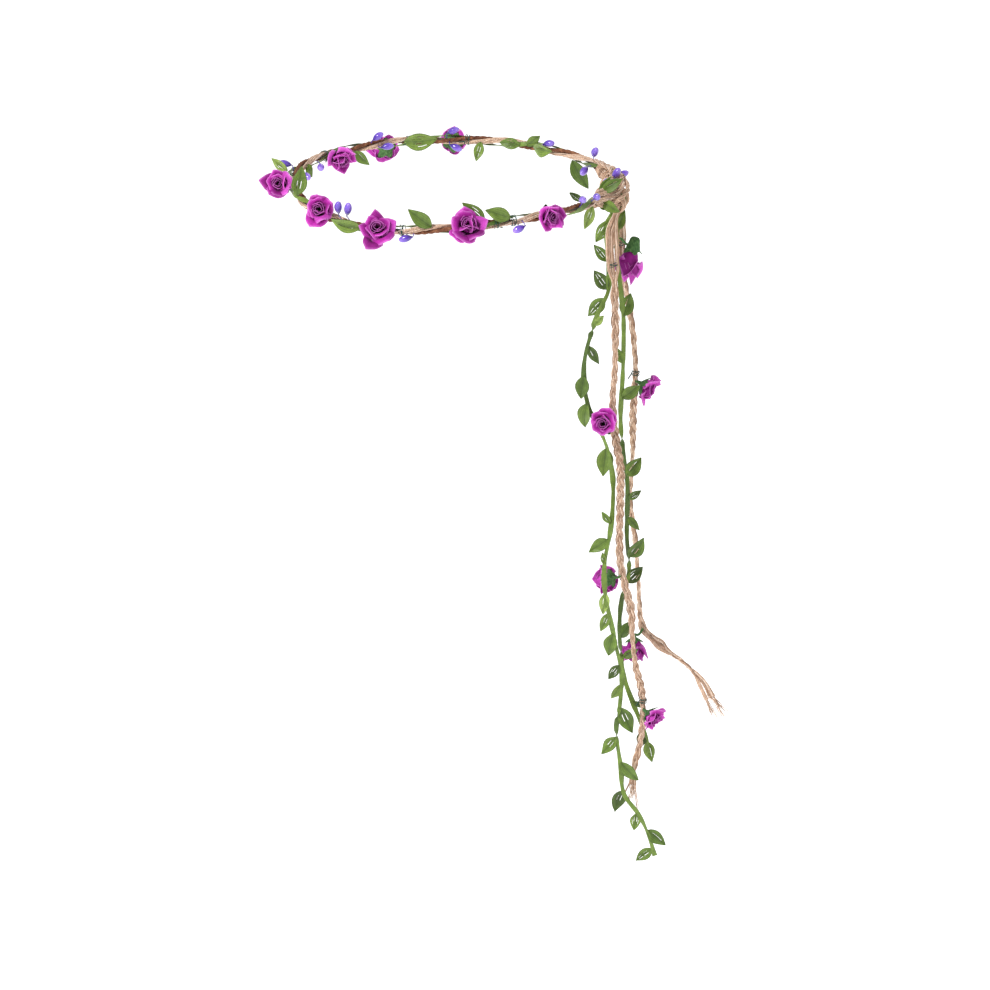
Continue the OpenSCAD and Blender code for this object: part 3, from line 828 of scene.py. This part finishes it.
def add_rose(shape, foot, axis, radius, rng, spin, openness, stretch):
    """Rose of rolled paper: a coiled heart and three rows of curled petals."""
    k = radius / ROSE_R
    base = 2.5
    t = np.linspace(0, 1, CORE_ROWS)[:, None]
    v = np.linspace(0, 1, CORE_COLUMNS)[None]
    around = TURN * 2.4 * t
    r = (1.0 + 2.3 * t) * k * (0.75 + 0.2 * v + 0.22 * smoothstep(0.7, 1, v))
    r = r * (1 + 0.08 * np.cos(4 * around))
    high = (8.0 + 0.4 * np.sin(3.1 * around + rng.uniform(0, 6)) - 0.6 * t) * k
    grid = np.stack([r * np.cos(around), r * np.sin(around), base + stretch * high * v], axis=-1)
    rim = 0.6 * smoothstep(0.88, 1, v) * np.ones_like(t)
    # The heart is darker low down and towards its middle: painted shade
    depth = 0.05 + 0.6 * smoothstep(0.4, 1, v) * (0.5 + 0.5 * t)
    shape.sheet(placed(grid, foot, axis, spin), PAPER_T, CORE_FACES, 0.5, rim, depth)
    rows = ((3, 8.4, 4.2, 1.5, (34, -6, 24), 0.02, 0.3, 0.2),
            (4, 9.7, 5.3, 1.3, (50, 2, 56 * openness), 0.1, 0.9, 0.15),
            (5, 10.8, 6.3, 1.1, (67, 16, 86 * openness), 0.17, 1.3, 0.1))
    for row, (count, length, half_width, foot_r, lean, point, roll, flat) in enumerate(rows):
        start = rng.uniform(0, TURN)
        for i in range(count):
            angle = start + TURN * (i + rng.uniform(-0.18, 0.18)) / count
            tilt = rng.normal(0, 9)
            grid, rim, depth = petal(
                rng, length * k * rng.uniform(0.88, 1.06), half_width * k * rng.uniform(0.85, 1.15),
                foot_r * k, [a + tilt for a in lean], point, roll * rng.uniform(0.6, 1.3), flat, angle)
            grid[..., 2] = stretch * grid[..., 2] + base - 0.25 * row
            # Petals are darker towards their feet, strongly on the inner face and a little on the outer one:
            # painted shade inside the rose. Outer rows get higher random tones, which the material paints
            # paler as a highlight
            inner_painted_shade = 0.08 + 0.9 * depth ** 1.3
            shape.sheet(placed(grid, foot, axis, spin), PAPER_T, PETAL_FACES,
                        rng.uniform(0, 0.35 + 0.325 * row), (0.35 + 0.25 * row) * rim,
                        np.stack([inner_painted_shade, 0.78 + 0.2 * depth]))


def add_calyx(shape, foot, axis, radius, rng, ring_point, cup):
    """Tape-wound receptacle with five pointed sepals, and a stalk back to what holds the flower."""
    k = radius / ROSE_R
    v = np.linspace(0, 1, PETAL_COLUMNS)[None]
    u = np.linspace(-1, 1, PETAL_ROWS)[:, None]
    spin = rng.uniform(0, TURN)
    for i in range(5):
        angle = TURN * i / 5 + rng.uniform(-0.1, 0.1)
        length = rng.uniform(6.0, 7.4) * k
        slope = np.radians(66 - 22 * v + 14 * rng.uniform(0, 1) * v ** 2)
        r, z = swept(slope, length / (PETAL_COLUMNS - 1))
        r, z = r + 0.9, z + 1.4
        wide = 2.7 * k * np.sin(math.pi * (0.22 + 0.78 * v) ** 0.9) ** 0.75 + 0.15
        around = angle + u * wide / np.maximum(r, 1.1)
        z = z + 0.25 * np.abs(u) ** 2 * v - 0.3
        grid = np.stack([r * np.cos(around), r * np.sin(around), z * np.ones_like(u)], axis=-1)
        shape.sheet(placed(grid, foot, axis, spin), 0.22, PETAL_FACES, rng.uniform(0.2, 1), 0, 0.5)
    heights = np.array([-0.6, 0, 0.5, 1.0, 1.6, 2.2, 2.8, 3.2])
    widths = np.array([0.75, 0.95, 1.15, 1.25, 1.7, 2.3, 2.7, 2.2])
    if cup:
        heights = np.array([-4.6, -4.2, -3.2, -1.6, 0, 1.6, 3.0, 3.6])
        widths = np.array([0.9, 2.2, 2.9, 3.2, 3.6, 4.0, 4.3, 3.6])
    path = foot + heights[:, None] * axis
    shape.tube(path, widths * (0.9 + 0.1 * k), 14, tone=0.6)
    gap = foot - ring_point
    bend = ring_point + 0.5 * gap - 0.2 * np.linalg.norm(gap) * np.array([0, 0, 1.0])
    stalk = smooth_path([ring_point, bend, foot - 0.4 * axis, foot + 0.8 * axis], 0.4)
    shape.tube(stalk, 0.75, 8, tone=0.5)


# ---- buds and wire

BUD_RINGS, BUD_SIDES = 18, 16


def add_bud(shape, foot, tip, rng):
    """Glossy pointed bud with a soft crease, on a thin stalk."""
    foot, tip = foot - 0.05 * (tip - foot), tip + 0.12 * (tip - foot)
    axis = unit(tip - foot)
    length = np.linalg.norm(tip - foot)
    t = np.linspace(0, 1, BUD_RINGS)
    swell = np.sin(math.pi * np.clip((t - 0.1) / 0.91, 0, 1) ** 1.1) ** 0.62
    radius = 0.3 + 2.0 * swell * (1 - 0.12 * t)
    radius[-1] = 0.12
    side = unit(np.cross(axis, (0.3, 0.2, 0.9)))
    up = np.cross(axis, side)
    crease = 1 - 0.14 * np.exp(-((np.arange(BUD_SIDES) - 4) / 1.4) ** 2)
    outline = radius[:, None, None] * circle(BUD_SIDES) * crease[:, None]
    lean = 0.5 * np.sin(math.pi * t) * rng.uniform(-1, 1)
    path = foot + t[:, None] * length * axis + lean[:, None] * side
    points = path[:, None] + outline[..., :1] * side + outline[..., 1:] * up
    # Distance from foot to tip, which the material paints from dark to pale: painted shade and highlight
    depth = np.repeat(t, BUD_SIDES)
    shape.add(points, tube_faces(BUD_RINGS, BUD_SIDES, False), rng.uniform(0.2, 1), 0, depth)


def coil(centre, axis, radius, turns, wire_r, rng, sway=0.12):
    """Path of a wire wound round an axis."""
    side = unit(np.cross(axis, (0.2, 0.5, 0.84)))
    up = np.cross(axis, side)
    t = np.linspace(0, 1, int(26 * turns))
    angle = TURN * turns * t
    r = radius + sway * np.sin(3 * angle * 0.37 + rng.uniform(0, 6))
    rise = (t - 0.5) * turns * 3.4 * wire_r + 0.5 * np.sin(1.3 * angle + rng.uniform(0, 6))
    return to_frame(centre + rise[:, None] * axis, side, up, r * np.cos(angle), r * np.sin(angle))


def add_tie(shape, centre, axis, radius, rng, turns=3.4, wire_r=0.2):
    """Turns of floral wire with their two ends twisted off."""
    path = coil(centre, axis, radius, turns, wire_r, rng)
    shape.tube(path, wire_r, 6, tone=rng.uniform(0.3, 0.7))
    out = unit(path[-1] - centre)
    tail = unit(axis + 0.8 * out)
    t = np.linspace(0, 1, 22)
    for phase in (0, math.pi):
        angle = 13 * t + phase
        wind = np.stack([np.cos(angle), np.sin(angle)], axis=1) * 0.24
        across = unit(np.cross(tail, (0.1, 0.9, 0.3)))
        over = np.cross(tail, across)
        line = path[-1] + 3.4 * t[:, None] * tail + wind[:, :1] * across + wind[:, 1:] * over
        shape.tube(line, 0.19, 5)


# ---- ring

def ring_rise(degrees):
    return sum(high * np.exp(-((degrees - at) / spread) ** 2) for high, at, spread in RING_BUMPS)


def ring_line():
    """Centre line of the ring with its outward and upward directions and its angles."""
    degrees = np.linspace(-180.0, 180.0, RING_STEPS, endpoint=False)
    a = np.radians(degrees)
    out = np.stack([np.cos(a), np.sin(a), np.zeros_like(a)], axis=1)
    path = RING_R * out
    path[:, 2] = ring_rise(degrees)
    up = np.broadcast_to((0.0, 0.0, 1.0), out.shape)
    return path, out, up, a


def lay(path, out, up, a, offset, phase):
    """A strand's centre line, wound round the ring's, with its own directions."""
    angle = LAY_TURNS * a + math.radians(phase)
    line = to_frame(path, out, up, offset * np.cos(angle), offset * np.sin(angle))
    s_out = out * np.cos(angle)[:, None] + up * np.sin(angle)[:, None]
    s_up = up * np.cos(angle)[:, None] - out * np.sin(angle)[:, None]
    return line, s_out, s_up


def make_ring(rng):
    path, out, up, a = ring_line()
    brown = Shape()
    line, s_out, s_up = lay(path, out, up, a, 1.45, 0)
    for phase in (0, math.pi):
        turn = 64 * a + phase
        ply = to_frame(line, s_out, s_up, 0.3 * np.cos(turn), 0.3 * np.sin(turn))
        radius = 0.92 + 0.07 * np.sin(31 * a + phase) + 0.03 * np.sin(173 * a)
        brown.closed_tube(ply, s_out, s_up, radius, 10, 0.5)
    brown.make("brown_cord", BROWN, "crown")

    jute = Shape()
    line, s_out, s_up = lay(path, out, up, a, 1.5, 120)
    for x, y in yarn_spots(13, 0.85, 1.6):
        turn = 3 * np.sin(a + 2 * x) * 0.12
        px = x * np.cos(turn) - y * np.sin(turn) + 0.1 * np.sin(41 * a + 7 * x)
        px = px + 0.06 * np.sin(97 * a + 5 * y)
        py = x * np.sin(turn) + y * np.cos(turn) + 0.14 * np.sin(37 * a + 9 * y)
        yarn = to_frame(line, s_out, s_up, px, py)
        yarn_r = 0.37 * rng.uniform(0.8, 1.2)
        jute.closed_tube(yarn, s_out, s_up, yarn_r, 5, random_tone(rng, 0.6, 0.3))
    add_stray_fibres(jute, line, rng, 220, 1.6, 4.5)
    jute.make("jute_strand", JUTE, "crown")

    ribbon = Shape()
    line, s_out, s_up = lay(path, out, up, a, 2.2, 240)
    k = TURN * np.arange(RIBBON_SIDES) / RIBBON_SIDES
    flat = np.stack([0.24 * np.sin(k), 1.35 * np.sign(np.cos(k)) * np.abs(np.cos(k)) ** 0.6], axis=1)
    size = 1 + 0.18 * np.sin(23 * a) + 0.1 * np.sin(51 * a)
    outline = flat[None] * np.stack([np.ones_like(size), size], axis=1)[:, None]
    tone = 0.5 + 0.25 * np.repeat(np.sin(7 * a), RIBBON_SIDES)
    ribbon.section(line, s_out, s_up, outline, tone, closed=True)
    ribbon.make("ribbon_strand", LEAF, "crown")
    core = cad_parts["core_wire"].data.materials
    core.clear()
    core.append(STEEL)
    return path


# Foot, tip, width and bend of the small leaves folded round the knot
KNOT_LEAVES = (
    ((89.5, -15, 2.9), (101, -13, 10.6), 6.5, 0.5), ((88.0, -14, 3.0), (94.5, -13, 11.6), 3.6, 0.4),
    ((88.6, -16, -5.5), (95.6, -17, -3.5), 4.4, 0.2))


def make_ring_leaves(node, line, rng):
    shape = Shape()
    front = add_leaves(shape, node, line, rng, **RING_LEAVES)
    if node == "ring_leaves_front":
        for foot, tip, wide, bend in KNOT_LEAVES:
            add_leaf(shape, np.array(foot), np.array(tip), front, wide, rng, 0.4, bend=bend)
    return shape.make(node, LEAF, "crown")


# ---- knot

BAR_POINTS = 46
LASHING_POINTS = 80
LASHING_PLACES = (-10.2, 9.7)
# Strands that cover the knot, and wraps at its end. A stop is an angle on the ring, how far outside its
# centre line it lies, and its height; a wrap adds its radius
COVERS = (
    ((30, 1.5, 3), (14, 4.5, 4.5), (4, 6, 4.5), (-6, 4.5, 3.5), (-16, 1, 2)),
    ((26, 2.5, 1), (12, 5.5, 3), (2, 8, 3), (-7, 6, 1.5), (-17, 2, -1)),
    ((32, -0.5, 3.5), (14, 1.5, 5.5), (3, 2.5, 6), (-6, 2, 5), (-14, 0, 3)),
    ((22, 3, 3.5), (12, 6, 5), (5, 7.5, 5), (-3, 7, 4), (-12, 3, 2)),
    ((28, 1.5, 3), (13.3, 5.6, 4.5), (2.8, 10.5, 4), (-3.3, 12.7, 1.5), (-7.2, 9.8, -1.5), (-9.8, 4.4, -3.5),
     (-20, 0.5, -1.5)),
    ((24, 1, 3.5), (12, 5, 5.5), (2, 8.5, 5.2), (-4, 9.5, 3), (-9, 6.5, 0), (-19, 0.5, 1)))
WRAPS = ((10, 3, 1, 5.4), (15, 1.5, 0.5, 4.7), (19, 1.0, 0.3, 4.4), (24, 0.5, 0, 4.2))


def by_ring(degrees, out_by, height):
    a = math.radians(degrees)
    return np.array([(RING_R + out_by) * math.cos(a), (RING_R + out_by) * math.sin(a), height])


def make_bar(rng):
    """The knot's bar: a straight bundle of jute yarns."""
    bar = Shape()
    y = np.linspace(-11.2, 10.7, BAR_POINTS)
    path = np.stack([np.full(BAR_POINTS, BAR_X), y, np.full(BAR_POINTS, BAR_Z)], axis=1).astype(float)
    side = np.broadcast_to((1.0, 0.0, 0.0), path.shape)
    up = np.broadcast_to((0.0, 0.0, 1.0), path.shape)
    for x, z in yarn_spots(30, 2.3, 2.3):
        yarn = to_frame(path, side, up, x + wavy(y, rng, 0.08, 9), z + wavy(y, rng, 0.08, 11))
        bar.tube(yarn, 0.42, 6, tone=random_tone(rng, 0.5, 0.2))
    bar.make("knot_bar", JUTE, "crown")


def add_lashing(shape, rng):
    """Bands wound round both the ring and the bar."""
    centre = np.array([RING_R - 0.5, 0])
    span = np.array([BAR_X, BAR_Z]) - centre
    t = np.arange(LASHING_POINTS) / LASHING_POINTS
    angle = math.atan2(span[1], span[0]) + math.pi / 2 - TURN * t
    way = np.stack([np.cos(angle), np.sin(angle)], axis=1)
    for middle in LASHING_PLACES:
        for layer in range(5):
            place = middle + (layer - 2) * 0.55 + rng.uniform(-0.08, 0.08)
            loop = centre + (t < 0.5)[:, None] * span + (4.0 + 0.25 * (layer % 2)) * way
            points = np.stack([loop[:, 0], np.full(LASHING_POINTS, place), loop[:, 1]], axis=1)
            points = resample(np.vstack([points, points[:1]]), 0.5)
            for _ in range(2):
                shift = rng.normal(0, 0.12, 3)
                shape.tube(points + shift, 0.33, 6, tone=random_tone(rng, 0.55, 0.2))


def make_knot(rng):
    """Jute wound round the ring and the bar, and strands that cover them."""
    make_bar(rng)
    lashing = Shape()
    add_lashing(lashing, rng)
    for stops in COVERS:
        points = [by_ring(degrees, out_by, ring_rise(degrees) + lift) for degrees, out_by, lift in stops]
        path = smooth_path(points, 0.8)
        side, up = carried_frame(path, (0, 0, 1))
        add_yarns(lashing, path, side, up, rng, 10, 1.3, 1.0, 0.34, 22, tone=0.6)
        add_stray_fibres(lashing, path, rng, 16, 1.3, 4.5)
    for degrees, out_by, height, radius in WRAPS:
        a = math.radians(degrees)
        along = unit(np.array([-math.sin(a), math.cos(a), 0.1]))
        path = coil(by_ring(degrees, out_by, height), along, radius - 1.0, 1.6, 0.5, rng)
        side, up = carried_frame(path, (0, 0, 1))
        add_yarns(lashing, path, side, up, rng, 6, 0.8, 0.55, 0.33, 18, tone=0.6)
    lashing.make("knot_lashing", JUTE, "crown")


# ---- assembly

# How each rose is turned, how wide it opens, and its size and depth as shares of the CAD model's
RING_FLOWERS = {
    "left": (0.4, 1.0, 1, 1), "front_left": (1.2, 0.85, 1, 1), "front": (2.0, 1.15, 1.05, 1),
    "front_centre": (0.3, 0.95, 1.05, 1), "front_right": (2.8, 0.7, 1, 1.05),
    "back_left": (1.5, 0.6, 1, 1.1), "back": (0.8, 1.05, 1.05, 1), "back_centre": (2.2, 1.0, 1, 1)}
LONG_FLOWERS = {"long_upper": (1.0, 0.8, 1, 1), "long_middle": (2.5, 1.1, 1.05, 1),
                "long_lower": (0.2, 0.9, 1, 1)}
SHORT_FLOWERS = {"short_upper": (1.7, 0.75, 1.15, 2.0), "short_middle": (0.6, 0.8, 1, 1),
                 "short_lower": (2.1, 0.5, 1.05, 1.5)}
# The rose whose calyx is a deep cup
DEEP_CUP = "short_upper"


def make_flowers(flowers, body, line, seed):
    """Roses and calyxes of a body, each a piece of its own."""
    made = []
    for number, (name, (spin, openness, grow, stretch)) in enumerate(flowers.items()):
        rng = seeded(seed + number)
        foot, axis, radius = flower_place(name)
        bloom = Shape()
        add_rose(bloom, foot, axis, grow * radius, rng, spin, openness, stretch)
        made.append(bloom.make("rose_" + name, PETAL, body))
        green = Shape()
        add_calyx(green, foot, axis, radius, rng, nearest(line, foot), name == DEEP_CUP)
        made.append(green.make("calyx_" + name, CALYX, body))
    return made


def make_buds(ring, seed):
    for number, name in enumerate(n for n in sorted(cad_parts) if n.startswith("bud")):
        rng = seeded(seed + number)
        shape = Shape()
        for foot, tip in bud_places(name, ring):
            add_bud(shape, foot, tip, rng)
            near = nearest(ring, foot)
            stalk = smooth_path([near, (near + foot) / 2 + rng.normal(0, 0.3, 3), foot,
                                 foot + 0.12 * (tip - foot)], 0.4)
            shape.tube(stalk, 0.28, 6, tone=0.0)
        shape.make(name, BUD, "crown")


def make_ties(name, body, line, hold_r, seed):
    rng = seeded(seed)
    shape = Shape()
    centres = []
    for points in solids(name):
        middle = points.mean(axis=0)
        if all(np.linalg.norm(middle - c) > 3 for c in centres):
            centres.append(middle)
    for middle in centres:
        i = np.linalg.norm(line - middle, axis=1).argmin()
        way = unit(line[min(i + 2, len(line) - 1)] - line[max(i - 2, 0)])
        add_tie(shape, line[i], way, hold_r, rng)
    return shape.make(name, WIRE, body)


def make_braid_tail(name, route, sizes, plaits, splay, y, flowers, seeds):
    body = name + "_tail"
    braid, fray, line = make_braid(name, route, body, sizes, plaits, splay, seeded(seeds[0]))
    loop = make_braid_loop(name + "_loop", body, y, seeded(seeds[1]))
    ties = make_ties(name + "_ties", body, line, BRAID_D / 2, seeds[2])
    roses = make_flowers(flowers, body, line, seeds[3])


def make_vine_tail(name, route, y, seed):
    body = name + "_tail"
    vine, leaves, line = make_vine(name, route, body, seeded(seed))
    loop = make_vine_loop(name + "_loop", body, y)


def make_stage():
    mesh = bpy.data.meshes.new("floor")
    half, height = 30.0, -0.5
    corners = [(x * half, y * half, height) for x, y in ((-1, -1), (1, -1), (1, 1), (-1, 1))]
    mesh.from_pydata(corners, [], [(0, 1, 2, 3)])
    floor = bpy.data.objects.new("floor", mesh)
    bpy.context.scene.collection.objects.link(floor)
    look = Look("floor", Roughness=0.9, Specular_IOR_Level=0.1, Emission_Color=(1, 1, 1, 1),
                Emission_Strength=0.62)
    look.colour(look.ramp(look.noise(0.0001, 2), (0.3, 238, 238, 238), (0.7, 240, 240, 240)))
    mesh.materials.append(look.material)


def make_light(name, place, aim, size, power):
    light = bpy.data.lights.new(name, "AREA")
    light.shape = "DISK"
    light.size = size
    light.energy = power
    lamp = bpy.data.objects.new(name, light)
    lamp.location = place
    lamp.rotation_mode = "QUATERNION"
    lamp.rotation_quaternion = (Vector(aim) - Vector(place)).to_track_quat("-Z", "Y")
    bpy.context.scene.collection.objects.link(lamp)


def make_lighting():
    """Soft studio light: a key from the upper left, weak fills, and a surround that is brightest at and below
    the horizon, dimmer above it and a little brighter again overhead.
    """
    world = bpy.data.worlds.new("studio")
    world.use_nodes = True
    nodes, links = world.node_tree.nodes, world.node_tree.links
    places = nodes.new("ShaderNodeTexCoord").outputs["Generated"]
    height = nodes.new("ShaderNodeSeparateXYZ")
    shade = nodes.new("ShaderNodeValToRGB")
    shade.color_ramp.elements.new(0.4)
    for element, position, level in zip(shade.color_ramp.elements, (0.06, 0.3, 1), (1.5, 0.4, 0.8)):
        element.position = position
        element.color = (level, level, level, 1)
    links.new(places, height.inputs["Vector"])
    links.new(height.outputs["Z"], shade.inputs["Fac"])
    links.new(shade.outputs["Color"], nodes["Background"].inputs["Color"])
    nodes["Background"].inputs["Strength"].default_value = 0.7
    bpy.context.scene.world = world
    bpy.context.scene.view_settings.view_transform = "Standard"
    aim = (0.04, 0.0, -0.12)
    make_light("key", (-1.0, -1.5, 1.7), aim, 0.7, 52)
    make_light("fill", (1.6, -1.4, 0.5), aim, 1.6, 5)
    make_light("back", (0.4, 1.8, 1.2), aim, 1.6, 10)


make_camera()

make_braid_tail("long_braid", LONG_BRAID_ROUTE, LONG_SIZES, LONG_PLAITS, 1.7, -6.3,
                LONG_FLOWERS, (11, 15, 19, 30))
make_braid_tail("short_braid", SHORT_BRAID_ROUTE, SHORT_SIZES, SHORT_PLAITS, 1, 4.6,
                SHORT_FLOWERS, (12, 16, 20, 40))
make_vine_tail("long_vine", LONG_VINE_ROUTE, -2.4, 13)
make_vine_tail("short_vine", SHORT_VINE_ROUTE, 0.6, 14)

ring = make_ring(seeded(1))
make_ring_leaves("ring_leaves_front", ring, seeded(2))
make_ring_leaves("ring_leaves_back", ring, seeded(3))
make_ties("ring_ties", "crown", ring, 2.9, 4)
make_flowers(RING_FLOWERS, "crown", ring, 50)
make_buds(ring, 70)
make_knot(seeded(5))

make_stage()
make_lighting()
